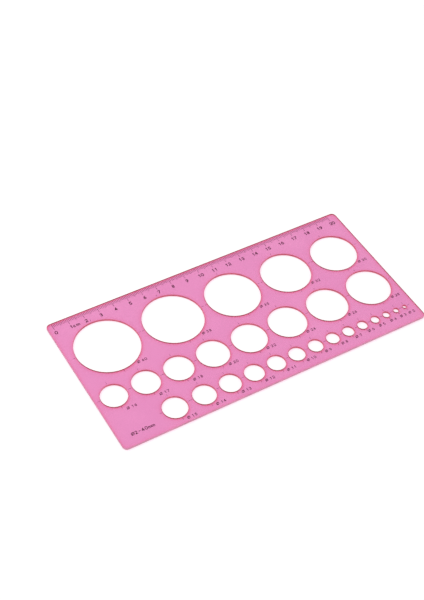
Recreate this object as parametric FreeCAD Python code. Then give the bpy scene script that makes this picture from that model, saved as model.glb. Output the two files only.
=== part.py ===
import FreeCAD, Part
import math
import os

# A circle template: one sheet of dyed clear plastic with three rows of round pen holes, a
# centimetre rule along the back edge, and a black print of rule, sizes and centre marks.
# Millimetres. Origin: centre of the underside. +X runs along the rule, +Y to the rule's edge,
# +Z up. The print is a thin layer of ink on the top face.

# Sheet
SHEET_LENGTH = 210.0
SHEET_WIDTH = 102.0
SHEET_THICKNESS = 1.4
CORNER_RADIUS = 3.0
EDGE_BREAK = 0.1

LEFT_EDGE = -SHEET_LENGTH / 2
FRONT_EDGE = -SHEET_WIDTH / 2
BACK_EDGE = SHEET_WIDTH / 2

# A pen's point stands off the hole's wall, so each hole is wider than the circle drawn in it.
# The drills start below the sheet and end above it.
PEN_ALLOWANCE = 0.5
DRILL_OVERRUN = 1.0

# Rows of circles. "inset" is from the left edge to the first circle, "height" from the front
# edge to the line of centres, "gap" from circle to circle and "first_gap" the first such gap.
# A size label's symbol stands "label_clear" outside its circle, at "label_side" to the right
# of the centre and at least "label_drop" below it.
ROWS = {
    "large": {
        "diameters": [40, 38, 35, 32, 30],
        "inset": 6.0, "height": 71.2, "gap": 5.8, "first_gap": 5.8,
        "label_clear": 2.4, "label_drop": 0.0,
        "label_side": lambda diameter: 10.4,
    },
    "medium": {
        "diameters": [16, 17, 18, 20, 22, 24, 26, 28],
        "inset": 4.25, "height": 36.4, "gap": 4.4, "first_gap": 4.4,
        "label_clear": 2.2, "label_drop": 11.8,
        "label_side": lambda diameter: 3.0 + 0.45 * (diameter - 16),
    },
    "small": {
        "diameters": list(range(15, 1, -1)),
        "inset": 31.5, "height": 12.5, "gap": 4.0, "first_gap": 5.0,
        "label_clear": 3.0, "label_drop": 5.6,
        "label_side": lambda diameter: min(max(diameter - 5.0, 0.0), 3.3),
    },
}

# Rule: its zero, the bare strip between the ticks and the edge, and the ticks' lengths
RULE_LENGTH = 200
RULE_ZERO = LEFT_EDGE + 3.7
TICK_INSET = 1.3
TICK_WIDTH = 0.22
TICK_LENGTH = {"millimetre": 2.2, "half_centimetre": 3.0, "centimetre": 4.2}

# Centre marks: four short lines round each circle, on its centre lines. Two circles no further
# apart than "share" have one mark between them.
MARK_CLEAR = 1.1
MARK_LENGTH = 1.4
MARK_WIDTH = 0.16
MARK_SHARE = 5.0

# Lettering: the height over all, the width of the pen line, and the step between letters
INK = 0.05
NUMERALS = {"height": 2.55, "pen": 0.46, "pitch": 2.0}
LABELS = {"height": 1.95, "pen": 0.3, "pitch": 1.86}
LEGEND_LETTERS = {"height": 2.25, "pen": 0.38, "pitch": 2.15}
NUMERAL_DROP = 7.95
LABEL_SPACE = 2.9
UNIT_SPACE = 1.9
UNIT_PITCH = 2.4

# Legend near the front left corner: the range of sizes, in place of any maker's marking
LEGEND = "Ø2-40mm"
LEGEND_START = (LEFT_EDGE + 9.0, FRONT_EDGE + 7.5)

TOP = SHEET_THICKNESS


def at(centre, radius, degrees):
    angle = math.radians(degrees)
    return (centre[0] + radius * math.cos(angle), centre[1] + radius * math.sin(angle))


def scaled(xy, scale):
    return (scale * xy[0], scale * xy[1])


def point(xy):
    return FreeCAD.Vector(xy[0], xy[1], 0)


def arc_edge(centre, radius, start, end):
    middle = (start + end) / 2
    return Part.Arc(*[point(at(centre, radius, a)) for a in (start, middle, end)]).toShape()


def prism(edges, depth):
    face = Part.Face(Part.Wire(Part.__sortEdges__(edges)))
    return face.extrude(FreeCAD.Vector(0, 0, depth))


def line_stroke(scale, pen, start, end):
    """A straight pen line with round tips."""
    start, end = scaled(start, scale), scaled(end, scale)
    heading = math.degrees(math.atan2(end[1] - start[1], end[0] - start[0]))
    left, right = heading + 90, heading - 90
    half = pen / 2
    edges = [
        Part.makeLine(point(at(start, half, right)), point(at(end, half, right))),
        arc_edge(end, half, right, left),
        Part.makeLine(point(at(end, half, left)), point(at(start, half, left))),
        arc_edge(start, half, left, left + 180),
    ]
    return prism(edges, INK)


def arc_stroke(scale, pen, centre, radius, start, end):
    """A round pen line with round tips, drawn anticlockwise from start to end degrees."""
    centre, radius, half = scaled(centre, scale), scale * radius, pen / 2
    edges = [
        arc_edge(centre, radius + half, start, end),
        arc_edge(at(centre, radius, end), half, end, end + 180),
        arc_edge(centre, radius - half, start, end),
        arc_edge(at(centre, radius, start), half, start - 180, start),
    ]
    return prism(edges, INK)


def ring_stroke(scale, pen, centre, radius):
    centre, radius, half = scaled(centre, scale), scale * radius, pen / 2
    outer = Part.makeCylinder(radius + half, INK, point(centre))
    return outer.cut(Part.makeCylinder(radius - half, INK, point(centre)))


# The strokes of each glyph: a kind of stroke, then its sizes. They are the pen's middle line,
# centred on the origin and one unit high, so that TOP_LINE and -TOP_LINE are its limits.
TOP_LINE = 0.5
X_HEIGHT = 0.6

ZERO_BOWL = 0.34
ZERO_SHOULDER = TOP_LINE - ZERO_BOWL
ONE_STEM, ONE_FLAG = 0.05, (-0.18, 0.3)
TWO_BOWL = ((0, TOP_LINE - 0.31), 0.31)
TWO_FOOT = 0.34
THREE_UPPER = 0.25
THREE_LOWER = 0.28
FOUR_STEM, FOUR_FOOT, FOUR_BAR = 0.15, 0.36, -0.2
FIVE_LEFT, FIVE_RIGHT = -0.24, 0.3
FIVE_BOWL = ((-0.01, 0.31 - TOP_LINE), 0.31)
SIX_BOWL = 0.3
SIX_CENTRE = SIX_BOWL - TOP_LINE
SIX_BACK = 0.79
SEVEN_BAR = 0.33
EIGHT_UPPER = 0.25
EIGHT_LOWER = 0.28
SYMBOL_RING = 0.46
HYPHEN = 0.2
C_MOUTH = 50
M_ARCH = 0.22
M_SPRING = X_HEIGHT - TOP_LINE - M_ARCH

GLYPHS = {
    "0": [
        (arc_stroke, (0, ZERO_SHOULDER), ZERO_BOWL, 0, 180),
        (arc_stroke, (0, -ZERO_SHOULDER), ZERO_BOWL, 180, 360),
        (line_stroke, (-ZERO_BOWL, -ZERO_SHOULDER), (-ZERO_BOWL, ZERO_SHOULDER)),
        (line_stroke, (ZERO_BOWL, -ZERO_SHOULDER), (ZERO_BOWL, ZERO_SHOULDER)),
    ],
    "1": [
        (line_stroke, (ONE_STEM, -TOP_LINE), (ONE_STEM, TOP_LINE)),
        (line_stroke, (ONE_STEM, TOP_LINE), ONE_FLAG),
    ],
    "2": [
        (arc_stroke, *TWO_BOWL, -40, 165),
        (line_stroke, at(*TWO_BOWL, -40), (-TWO_FOOT, -TOP_LINE)),
        (line_stroke, (-TWO_FOOT, -TOP_LINE), (TWO_FOOT, -TOP_LINE)),
    ],
    "3": [
        (arc_stroke, (0, TOP_LINE - THREE_UPPER), THREE_UPPER, -90, 165),
        (arc_stroke, (0, THREE_LOWER - TOP_LINE), THREE_LOWER, -165, 90),
    ],
    "4": [
        (line_stroke, (FOUR_STEM, -TOP_LINE), (FOUR_STEM, TOP_LINE)),
        (line_stroke, (FOUR_STEM, TOP_LINE), (-FOUR_FOOT, FOUR_BAR)),
        (line_stroke, (-FOUR_FOOT, FOUR_BAR), (FOUR_FOOT, FOUR_BAR)),
    ],
    "5": [
        (line_stroke, (FIVE_RIGHT, TOP_LINE), (FIVE_LEFT, TOP_LINE)),
        (line_stroke, (FIVE_LEFT, TOP_LINE), at(*FIVE_BOWL, 138)),
        (arc_stroke, *FIVE_BOWL, -145, 138),
    ],
    "6": [
        (ring_stroke, (0, SIX_CENTRE), SIX_BOWL),
        (arc_stroke, (SIX_BACK - SIX_BOWL, SIX_CENTRE), SIX_BACK, 115, 180),
    ],
    "7": [
        (line_stroke, (-SEVEN_BAR, TOP_LINE), (SEVEN_BAR, TOP_LINE)),
        (line_stroke, (SEVEN_BAR, TOP_LINE), (-SEVEN_BAR / 3, -TOP_LINE)),
    ],
    "8": [
        (ring_stroke, (0, TOP_LINE - EIGHT_UPPER), EIGHT_UPPER),
        (ring_stroke, (0, EIGHT_LOWER - TOP_LINE), EIGHT_LOWER),
    ],
    "9": [
        (ring_stroke, (0, -SIX_CENTRE), SIX_BOWL),
        (arc_stroke, (SIX_BOWL - SIX_BACK, -SIX_CENTRE), SIX_BACK, -65, 0),
    ],
    "Ø": [
        (ring_stroke, (0, 0), SYMBOL_RING),
        (line_stroke, (-SYMBOL_RING, -TOP_LINE), (SYMBOL_RING, TOP_LINE)),
    ],
    "-": [
        (line_stroke, (-HYPHEN, 0), (HYPHEN, 0)),
    ],
    "c": [
        (arc_stroke, (0, X_HEIGHT / 2 - TOP_LINE), X_HEIGHT / 2, C_MOUTH, 360 - C_MOUTH),
    ],
    "m": [
        (line_stroke, (-2 * M_ARCH, -TOP_LINE), (-2 * M_ARCH, M_SPRING + M_ARCH)),
        (line_stroke, (0, -TOP_LINE), (0, M_SPRING)),
        (line_stroke, (2 * M_ARCH, -TOP_LINE), (2 * M_ARCH, M_SPRING)),
        (arc_stroke, (-M_ARCH, M_SPRING), M_ARCH, 0, 180),
        (arc_stroke, (M_ARCH, M_SPRING), M_ARCH, 0, 180),
    ],
}


def make_glyph(letter, style):
    """One letter as a single solid of ink on the top face, centred on the Z axis."""
    scale, pen = style["height"] - style["pen"], style["pen"]
    strokes = [stroke(scale, pen, *sizes) for stroke, *sizes in GLYPHS[letter]]
    solid = strokes[0]
    if len(strokes) > 1:
        solid = solid.fuse(strokes[1:]).removeSplitter()
    return solid.translated(FreeCAD.Vector(0, 0, TOP))


def letter_cutter(style):
    """Makes each letter once in this style, then copies it."""
    made = {}

    def letter_at(letter, x, y):
        if letter not in made:
            made[letter] = make_glyph(letter, style)
        return made[letter].translated(FreeCAD.Vector(x, y, 0)).Solids

    return letter_at


def write(letter_at, text, pitch, start, y):
    return [s for i, letter in enumerate(text) for s in letter_at(letter, start + i * pitch, y)]


def holes_in(row):
    """Yields circle diameter, centre x, centre y and gap to the next circle, left to right."""
    left = LEFT_EDGE + row["inset"]
    gap = row["first_gap"]
    for diameter in row["diameters"]:
        yield diameter, left + diameter / 2, FRONT_EDGE + row["height"], gap
        left += diameter + gap
        gap = row["gap"]


def ink_bar(x_low, x_high, y_low, y_high):
    corner = FreeCAD.Vector(x_low, y_low, TOP)
    return Part.makeBox(x_high - x_low, y_high - y_low, INK, corner)


def make_sheet():
    x, y = SHEET_LENGTH / 2 - CORNER_RADIUS, SHEET_WIDTH / 2 - CORNER_RADIUS
    corners = [(x, -y, -90), (x, y, 0), (-x, y, 90), (-x, -y, 180)]
    arcs = [arc_edge((cx, cy), CORNER_RADIUS, a, a + 90) for cx, cy, a in corners]
    edges = []
    for i, arc in enumerate(arcs):
        following = arcs[(i + 1) % len(arcs)]
        edges += [arc, Part.makeLine(arc.Vertexes[-1].Point, following.Vertexes[0].Point)]
    blank = prism(edges, SHEET_THICKNESS)
    drills = []
    for row in ROWS.values():
        for diameter, cx, cy, _ in holes_in(row):
            radius = (diameter + PEN_ALLOWANCE) / 2
            low = FreeCAD.Vector(cx, cy, -DRILL_OVERRUN)
            drills.append(Part.makeCylinder(radius, SHEET_THICKNESS + 2 * DRILL_OVERRUN, low))
    pierced = blank.cut(drills)
    rims = [e for e in pierced.Edges if e.BoundBox.ZLength < EDGE_BREAK]
    return [pierced.makeChamfer(EDGE_BREAK, rims)]


def rule_ticks(kind):
    """The rule's ticks of one kind; each place on the rule carries only its longest tick."""
    ticks = []
    for millimetre in range(RULE_LENGTH + 1):
        if millimetre % 10 == 0:
            here = "centimetre"
        elif millimetre % 5 == 0:
            here = "half_centimetre"
        else:
            here = "millimetre"
        if here == kind:
            x = RULE_ZERO + millimetre
            y = BACK_EDGE - TICK_INSET
            half = TICK_WIDTH / 2
            ticks.append(ink_bar(x - half, x + half, y - TICK_LENGTH[kind], y))
    return ticks


def rule_numerals():
    letter_at = letter_cutter(NUMERALS)
    y = BACK_EDGE - NUMERAL_DROP
    pitch = NUMERALS["pitch"]
    numerals = []
    for centimetre in range(RULE_LENGTH // 10 + 1):
        digits = str(centimetre)
        start = RULE_ZERO + 10 * centimetre - pitch * (len(digits) - 1) / 2
        numerals += write(letter_at, digits, pitch, start, y)
    return numerals


def unit_mark():
    """The letters cm beside the rule's 1."""
    letter_at = letter_cutter(NUMERALS)
    start = RULE_ZERO + 10 + UNIT_SPACE
    return write(letter_at, "cm", UNIT_PITCH, start, BACK_EDGE - NUMERAL_DROP)


def size_labels(row):
    letter_at = letter_cutter(LABELS)
    labels = []
    for diameter, cx, cy, _ in holes_in(row):
        side = row["label_side"](diameter)
        reach = diameter / 2 + row["label_clear"]
        drop = max(row["label_drop"], math.sqrt(reach ** 2 - side ** 2))
        labels += letter_at("Ø", cx + side, cy - drop)
        start = cx + side + LABEL_SPACE
        labels += write(letter_at, str(diameter), LABELS["pitch"], start, cy - drop)
    return labels


def centre_marks(row):
    half = MARK_WIDTH / 2
    marks = []
    shared_left = False
    for diameter, cx, cy, gap in holes_in(row):
        near = diameter / 2 + MARK_CLEAR
        far = near + MARK_LENGTH
        marks.append(ink_bar(cx - half, cx + half, cy + near, cy + far))
        marks.append(ink_bar(cx - half, cx + half, cy - far, cy - near))
        if not shared_left:
            marks.append(ink_bar(cx - far, cx - near, cy - half, cy + half))
        shared_left = gap <= MARK_SHARE and diameter != row["diameters"][-1]
        right_end = diameter / 2 + gap - MARK_CLEAR if shared_left else far
        marks.append(ink_bar(cx + near, cx + right_end, cy - half, cy + half))
    return marks


def legend():
    x, y = LEGEND_START
    return write(letter_cutter(LEGEND_LETTERS), LEGEND, LEGEND_LETTERS["pitch"], x, y)


def main():
    nodes = {
        "template_sheet": make_sheet(),
        "millimetre_ticks": rule_ticks("millimetre"),
        "half_centimetre_ticks": rule_ticks("half_centimetre"),
        "centimetre_ticks": rule_ticks("centimetre"),
        "rule_numerals": rule_numerals(),
        "rule_unit_mark": unit_mark(),
        "size_range_legend": legend(),
    }
    for name, row in ROWS.items():
        nodes[name + "_hole_labels"] = size_labels(row)
        nodes[name + "_centre_marks"] = centre_marks(row)
    os.makedirs("parts", exist_ok=True)
    for name, solids in nodes.items():
        shape = solids[0] if len(solids) == 1 else Part.makeCompound(solids)
        shape.exportStep("parts/" + name + ".step")
        box = shape.BoundBox
        print(name, len(shape.Solids), "solids", "valid" if shape.isValid() else "NOT VALID",
              round(shape.Volume, 3), "mm3", round(box.ZMin, 3), round(box.ZMax, 3))


main()
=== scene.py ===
import math

import bpy
from mathutils import Matrix, Vector


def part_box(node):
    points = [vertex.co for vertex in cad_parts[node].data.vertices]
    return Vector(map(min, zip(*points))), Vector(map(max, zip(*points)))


# A circle template of clear pink plastic on white paper. The CAD solids are shown as they are:
# this script gives them their materials, and adds the paper, the light and the camera.
# Lengths are in metres, and a noise's scale is in waves per metre.

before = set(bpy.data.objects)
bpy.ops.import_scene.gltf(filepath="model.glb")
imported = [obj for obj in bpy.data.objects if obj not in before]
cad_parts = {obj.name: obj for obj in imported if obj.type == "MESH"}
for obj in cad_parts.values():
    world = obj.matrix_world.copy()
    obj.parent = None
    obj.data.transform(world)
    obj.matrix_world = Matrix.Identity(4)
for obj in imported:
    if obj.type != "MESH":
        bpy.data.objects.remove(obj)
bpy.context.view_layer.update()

SHEET = "template_sheet"
INK_NODES = sorted(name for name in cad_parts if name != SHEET)

# Camera: it looks across the front left corner, down onto the sheet
CAMERA_BEARING = math.radians(34.05)
CAMERA_ELEVATION = math.radians(48.26)
CAMERA_ROLL = math.radians(4.61)
CAMERA_DISTANCE = 0.7548
CAMERA_AIM = Vector((-0.0050, 0.0230, 0.0))
CAMERA_LENS = 73.3

# Dye: the colour that the sheet's two faces give, and the crimson of its cut edges as it looks
# from outside the sheet. Seen through the sheet, the cut edges are a darker crimson: partly the
# longer way through the dye, partly painted shade. Light that comes in through a cut edge and
# falls on the paper under the sheet takes up EDGE_SHADE.
DYE_DEEP = (0.825, 0.445, 0.685)
DYE_PALE = (0.865, 0.495, 0.720)
DYE_PER_FACE = (0.957, 0.722, 0.849)
EDGE_DARK = (0.56, 0.075, 0.130)
EDGE_LIGHT = (0.72, 0.130, 0.205)
# Painted shade: the cut edges seen from inside the sheet are darker than from outside
SHADED_EDGE_DARK = (0.30, 0.002, 0.008)
SHADED_EDGE_LIGHT = (0.42, 0.004, 0.015)
EDGE_SHADE = (0.90, 0.06, 0.12)
EDGE_CLEARNESS = 0.15

# From outside, the sheet's outline is paler than the holes' walls
OUTLINE_DARK = (0.60, 0.24, 0.36)
OUTLINE_LIGHT = (0.76, 0.33, 0.48)
OUTLINE_DEPTH = 0.0003
CORNER_RADIUS = 0.003
RIGHT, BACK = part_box(SHEET)[1][:2]

# A surface is a cut edge where its normal's upright part is under WALL_UPRIGHT, and one of the
# two broad faces where it is over FACE_UPRIGHT
WALL_UPRIGHT = 0.75
FACE_UPRIGHT = 0.95

# Noise keeps mostly between these two values, so the shades are spread over that stretch
NOISE_LOW = 0.3
NOISE_HIGH = 0.7

# Plastic: how patchy its dye is, and the low waves in its faces
PLASTIC_IOR = 1.49
DYE_PATCHES = 35.0
EDGE_PATCHES = 220.0
WAVES = 60.0
WAVE_STRENGTH = 0.08
WAVE_HEIGHT = 0.0004

# Hairline scuffs in two directions: the noise's scale, how much longer than wide, their angle,
# and the stretch of noise over which a scuff comes up
SCUFFS = [
    (2600.0, 60.0, math.radians(24), 0.66, 0.80),
    (2200.0, 80.0, math.radians(-51), 0.68, 0.82),
]
SCUFF_STRENGTH = 0.05
SCUFF_DEPTH = 0.00002

# Roughness: of a face, from clean to handled, and what a scuff and a cut edge add to it
HANDLED_PATCHES = 18.0
HANDLED_LOW = 0.35
CLEAN_ROUGHNESS = 0.05
HANDLED_ROUGHNESS = 0.11
SCUFF_ROUGHNESS = 0.12
CUT_ROUGHNESS = 0.35

# Ink
INK_DARK = (0.040, 0.001, 0.012)
INK_LIGHT = (0.095, 0.003, 0.032)
INK_MOTTLE = 1400.0
INK_MOTTLE_HIGH = 0.72
INK_SMOOTH = 0.38
INK_ROUGH = 0.60
INK_SPECULAR = 0.1
INK_GRAIN = 5200.0
INK_GRAIN_STRENGTH = 0.25
INK_GRAIN_HEIGHT = 0.00002

# Paper: it lies just under the sheet, so that the two faces don't fight
PAPER_GAP = 0.00004
PAPER_SIZE = 8.0
PAPER_DARK = (0.93, 0.93, 0.93)
PAPER_LIGHT = (0.96, 0.96, 0.96)
PAPER_FIBRES = 900.0
PAPER_ROUGHNESS = 0.9
PAPER_SPECULAR = 0.2

# Light: white from all round, and the softboxes' names, bearing and elevation in degrees,
# distance, width and power in watts
SKY_COLOUR = (1, 1, 1, 1)
SKY_STRENGTH = 0.75
SOFTBOXES = [
    ("key_softbox", 150.0, 55.0, 1.6, 1.2, 10.0),
    ("fill_softbox", 20.0, 60.0, 1.8, 1.4, 4.0),
]


class Nodes:
    """A material's node tree, with short ways to add and join nodes."""

    def __init__(self, name):
        self.material = bpy.data.materials.new(name)
        self.material.use_nodes = True
        self.tree = self.material.node_tree
        self.shader = self.tree.nodes["Principled BSDF"]
        self.output = self.tree.nodes["Material Output"]
        self.place = self.add("ShaderNodeTexCoord").outputs["Object"]

    def add(self, kind, **settings):
        node = self.tree.nodes.new(kind)
        for key, value in settings.items():
            setattr(node, key, value)
        return node

    def join(self, source, target):
        self.tree.links.new(source, target)

    def noise(self, scale, detail=2.0, roughness=0.5, where=None):
        node = self.add("ShaderNodeTexNoise")
        node.inputs["Scale"].default_value = scale
        node.inputs["Detail"].default_value = detail
        node.inputs["Roughness"].default_value = roughness
        self.join(self.place if where is None else where, node.inputs["Vector"])
        return node.outputs["Fac"]

    def stretched_noise(self, scale, stretch, turn):
        """Noise drawn out into streaks: stretch is how much longer than wide, turn their angle."""
        mapping = self.add("ShaderNodeMapping")
        mapping.inputs["Rotation"].default_value = (0, 0, turn)
        mapping.inputs["Scale"].default_value = (1.0 / stretch, 1.0, 1.0)
        self.join(self.place, mapping.inputs["Vector"])
        return self.noise(scale, detail=1.0, where=mapping.outputs["Vector"])

    def ramp(self, value, stops):
        """Colours from the first of two stops to the second, each a position and a colour."""
        node = self.add("ShaderNodeValToRGB")
        for element, (position, colour) in zip(node.color_ramp.elements, stops):
            element.position = position
            element.color = (*colour, 1)
        self.join(value, node.inputs["Fac"])
        return node.outputs["Color"]

    def shades(self, noise, dark, light):
        return self.ramp(noise, [(NOISE_LOW, dark), (NOISE_HIGH, light)])

    def span(self, value, low, high, new_low, new_high):
        node = self.add("ShaderNodeMapRange")
        for name, number in zip(("From Min", "From Max", "To Min", "To Max"),
                                (low, high, new_low, new_high)):
            node.inputs[name].default_value = number
        self.join(value, node.inputs["Value"])
        return node.outputs["Result"]

    def math(self, operation, first, second):
        node = self.add("ShaderNodeMath", operation=operation)
        for socket, value in zip(node.inputs, (first, second)):
            if isinstance(value, (int, float)):
                socket.default_value = value
            else:
                self.join(value, socket)
        return node.outputs["Value"]

    def mix(self, share, first, second):
        node = self.add("ShaderNodeMix", data_type="RGBA")
        for name, source in (("Factor_Float", share), ("A_Color", first), ("B_Color", second)):
            self.join(source, next(i for i in node.inputs if i.identifier == name))
        return next(o for o in node.outputs if o.identifier == "Result_Color")

    def cut_edges(self):
        """1 on the cut edges and the broken corners along them, 0 on the two broad faces."""
        facing = self.add("ShaderNodeSeparateXYZ")
        self.join(self.add("ShaderNodeNewGeometry").outputs["True Normal"], facing.inputs[0])
        flat = self.math("ABSOLUTE", facing.outputs["Z"], 0.0)
        return self.span(flat, WALL_UPRIGHT, FACE_UPRIGHT, 1.0, 0.0)

    def vector_math(self, operation, first, second=None):
        node = self.add("ShaderNodeVectorMath", operation=operation)
        self.join(first, node.inputs[0])
        if second is not None:
            node.inputs[1].default_value = second
        return node.outputs["Value" if operation == "LENGTH" else "Vector"]

    def outline(self):
        """1 on the sheet's outer edge and 0 further in: it measures how far each point is from
        a rectangle that stands inside the sheet's outline by the radius of its corners."""
        corners = (RIGHT - CORNER_RADIUS, BACK - CORNER_RADIUS, 1.0)
        past = self.vector_math("SUBTRACT", self.vector_math("ABSOLUTE", self.place), corners)
        reach = self.vector_math("LENGTH", self.vector_math("MAXIMUM", past, (0, 0, 0)))
        return self.span(reach, CORNER_RADIUS - 2 * OUTLINE_DEPTH,
                         CORNER_RADIUS - OUTLINE_DEPTH, 0.0, 1.0)

    def seen_from_inside(self):
        return self.add("ShaderNodeNewGeometry").outputs["Backfacing"]

    def pass_light(self, clear):
        """Light from the lamps and the paper goes straight through the surface, as the shader
        called clear says; the camera sees the surface as it is."""
        ray = self.add("ShaderNodeLightPath")
        surface = self.shader.outputs["BSDF"]
        for kind in ("Is Shadow Ray", "Is Diffuse Ray"):
            mix = self.add("ShaderNodeMixShader")
            self.join(ray.outputs[kind], mix.inputs[0])
            self.join(surface, mix.inputs[1])
            self.join(clear.outputs["BSDF"], mix.inputs[2])
            surface = mix.outputs["Shader"]
        self.join(surface, self.output.inputs["Surface"])

    def bump(self, height, strength, distance, under=None):
        node = self.add("ShaderNodeBump")
        node.inputs["Strength"].default_value = strength
        node.inputs["Distance"].default_value = distance
        self.join(height, node.inputs["Height"])
        if under is not None:
            self.join(under, node.inputs["Normal"])
        return node.outputs["Normal"]


def clear_pink_plastic():
    """Dyed clear sheet: pale pink through its faces and crimson where it is cut, because light
    that reaches a cut edge has come a long way through the dye. Seen from inside the sheet, the cut
    edges are darker still, partly dye and partly painted shade. Faint waves and hairline scuffs."""
    m = Nodes("clear_pink_plastic")
    m.shader.inputs["IOR"].default_value = PLASTIC_IOR
    m.shader.inputs["Transmission Weight"].default_value = 1.0

    cut = m.cut_edges()
    dye = m.shades(m.noise(DYE_PATCHES, detail=3.0), DYE_DEEP, DYE_PALE)
    uneven = m.noise(EDGE_PATCHES)
    inside = m.seen_from_inside()
    outer = m.mix(m.outline(), m.shades(uneven, EDGE_DARK, EDGE_LIGHT),
                  m.shades(uneven, OUTLINE_DARK, OUTLINE_LIGHT))
    # Cut edges seen from inside the sheet: deeper dye plus painted shade, darker than from outside
    shaded_edge = m.shades(uneven, SHADED_EDGE_DARK, SHADED_EDGE_LIGHT)
    crimson = m.mix(inside, outer, shaded_edge)
    m.join(m.mix(cut, dye, crimson), m.shader.inputs["Base Color"])
    dull = m.math("MULTIPLY", cut, m.span(inside, 0.0, 1.0, 1.0 - EDGE_CLEARNESS, 1.0))
    m.join(m.math("SUBTRACT", 1.0, dull), m.shader.inputs["Transmission Weight"])

    scuffs = m.math("MAXIMUM", *[
        m.span(m.stretched_noise(scale, stretch, turn), low, high, 0.0, 1.0)
        for scale, stretch, turn, low, high in SCUFFS
    ])
    handled = m.span(m.noise(HANDLED_PATCHES), HANDLED_LOW, NOISE_HIGH,
                     CLEAN_ROUGHNESS, HANDLED_ROUGHNESS)
    worn = m.math("ADD", handled, m.math("MULTIPLY", scuffs, SCUFF_ROUGHNESS))
    rough = m.math("ADD", worn, m.math("MULTIPLY", cut, CUT_ROUGHNESS))
    m.join(rough, m.shader.inputs["Roughness"])
    waves = m.bump(m.noise(WAVES, detail=1.0), WAVE_STRENGTH, WAVE_HEIGHT)
    m.join(m.bump(scuffs, SCUFF_STRENGTH, SCUFF_DEPTH, waves), m.shader.inputs["Normal"])

    through = m.add("ShaderNodeBsdfTransparent")
    shaded = m.math("MULTIPLY", cut, inside)
    m.join(m.ramp(shaded, [(0.0, DYE_PER_FACE), (1.0, EDGE_SHADE)]), through.inputs["Color"])
    m.pass_light(through)
    return m.material


def printed_ink():
    """Screen-printed ink: black with the plastic's pink in it, uneven where the mesh laid it
    down. It is a thin film, so the shadow that it would throw on the paper is left out."""
    m = Nodes("black_ink")
    mottle = m.noise(INK_MOTTLE, detail=3.0, roughness=0.6)
    m.join(m.ramp(mottle, [(NOISE_LOW, INK_DARK), (INK_MOTTLE_HIGH, INK_LIGHT)]),
           m.shader.inputs["Base Color"])
    m.join(m.span(mottle, NOISE_LOW, NOISE_HIGH, INK_SMOOTH, INK_ROUGH),
           m.shader.inputs["Roughness"])
    m.shader.inputs["Specular IOR Level"].default_value = INK_SPECULAR
    m.join(m.bump(m.noise(INK_GRAIN), INK_GRAIN_STRENGTH, INK_GRAIN_HEIGHT),
           m.shader.inputs["Normal"])
    m.pass_light(m.add("ShaderNodeBsdfTransparent"))
    return m.material


def white_paper():
    m = Nodes("white_paper")
    m.join(m.shades(m.noise(PAPER_FIBRES, detail=4.0), PAPER_DARK, PAPER_LIGHT),
           m.shader.inputs["Base Color"])
    m.shader.inputs["Roughness"].default_value = PAPER_ROUGHNESS
    m.shader.inputs["Specular IOR Level"].default_value = PAPER_SPECULAR
    return m.material


def dress(name, material):
    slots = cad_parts[name].data.materials
    if not slots:
        slots.append(material)
    for index in range(len(slots)):
        slots[index] = material


def make_paper():
    half = PAPER_SIZE / 2
    mesh = bpy.data.meshes.new("paper")
    corners = [(-half, -half), (half, -half), (half, half), (-half, half)]
    mesh.from_pydata([(x, y, -PAPER_GAP) for x, y in corners], [], [(0, 1, 2, 3)])
    mesh.materials.append(white_paper())
    paper = bpy.data.objects.new("paper", mesh)
    bpy.context.scene.collection.objects.link(paper)


def place(item, bearing, elevation, distance, aim, roll=0.0):
    """Stands item off from aim and turns it to look there: bearing is the way that it looks,
    clockwise from +Y, and elevation how far it looks down."""
    look = Vector((
        math.sin(bearing) * math.cos(elevation),
        math.cos(bearing) * math.cos(elevation),
        -math.sin(elevation),
    ))
    turn = look.to_track_quat("-Z", "Y").to_matrix().to_4x4()
    item.matrix_world = (
        Matrix.Translation(aim - distance * look) @ turn @ Matrix.Rotation(roll, 4, "Z")
    )


def make_camera():
    data = bpy.data.cameras.new("camera")
    data.lens = CAMERA_LENS
    camera = bpy.data.objects.new("camera", data)
    bpy.context.scene.collection.objects.link(camera)
    place(camera, CAMERA_BEARING, CAMERA_ELEVATION, CAMERA_DISTANCE, CAMERA_AIM, CAMERA_ROLL)
    bpy.context.scene.camera = camera


def make_softbox(name, bearing, elevation, distance, width, power):
    data = bpy.data.lights.new(name, "AREA")
    data.shape = "DISK"
    data.size = width
    data.energy = power
    light = bpy.data.objects.new(name, data)
    bpy.context.scene.collection.objects.link(light)
    place(light, math.radians(bearing), math.radians(elevation), distance, Vector((0, 0, 0)))


def make_light():
    world = bpy.data.worlds.new("studio")
    world.use_nodes = True
    sky = world.node_tree.nodes["Background"]
    sky.inputs["Color"].default_value = SKY_COLOUR
    sky.inputs["Strength"].default_value = SKY_STRENGTH
    bpy.context.scene.world = world
    for softbox in SOFTBOXES:
        make_softbox(*softbox)


make_camera()
make_light()
make_paper()
dress(SHEET, clear_pink_plastic())
ink = printed_ink()
for node in INK_NODES:
    dress(node, ink)
bpy.context.scene.view_settings.view_transform = "Standard"
